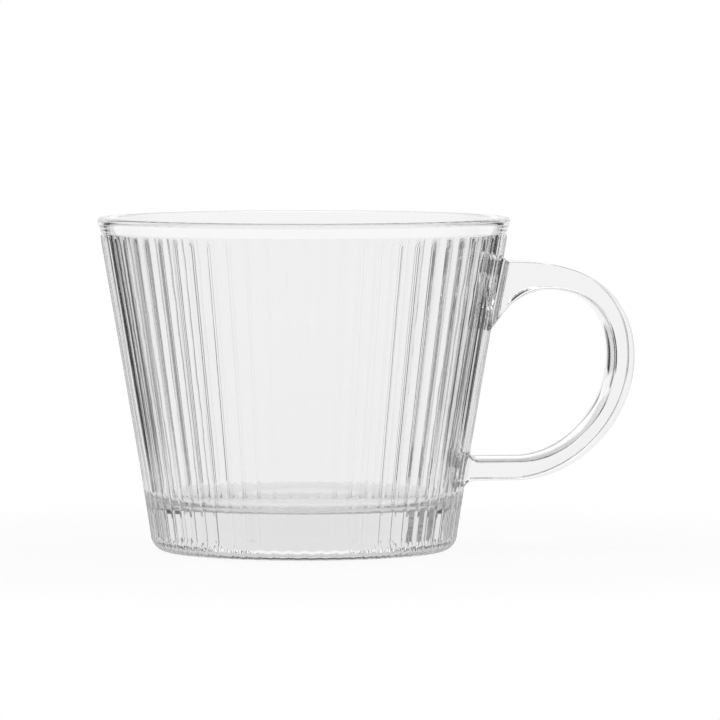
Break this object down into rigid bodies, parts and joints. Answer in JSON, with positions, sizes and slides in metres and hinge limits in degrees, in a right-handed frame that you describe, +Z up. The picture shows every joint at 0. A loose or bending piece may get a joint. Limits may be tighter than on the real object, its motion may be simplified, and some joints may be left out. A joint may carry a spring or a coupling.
{
  "type": "glass mug",
  "caption": "Tapered clear glass mug with narrow upright ribs and shallow flutes between them, a plain rounded lip, a thick solid base and a round loop handle fused to the wall.",
  "frame": {"origin": "on the bowl's axis, on the flat underside that the mug stands on", "axes": "+Z up along the bowl's axis, +X out through the middle of the handle"},
  "size_m": [0.1365, 0.1052, 0.085],
  "materials": {
    "bowl_glass": "clear colourless pressed glass, fire-polished",
    "handle_glass": "clear colourless pressed glass, fire-polished"
  },
  "bodies": {
    "root": {"bowl": "bowl_glass", "handle": "handle_glass"}
  },
  "joints": []
}
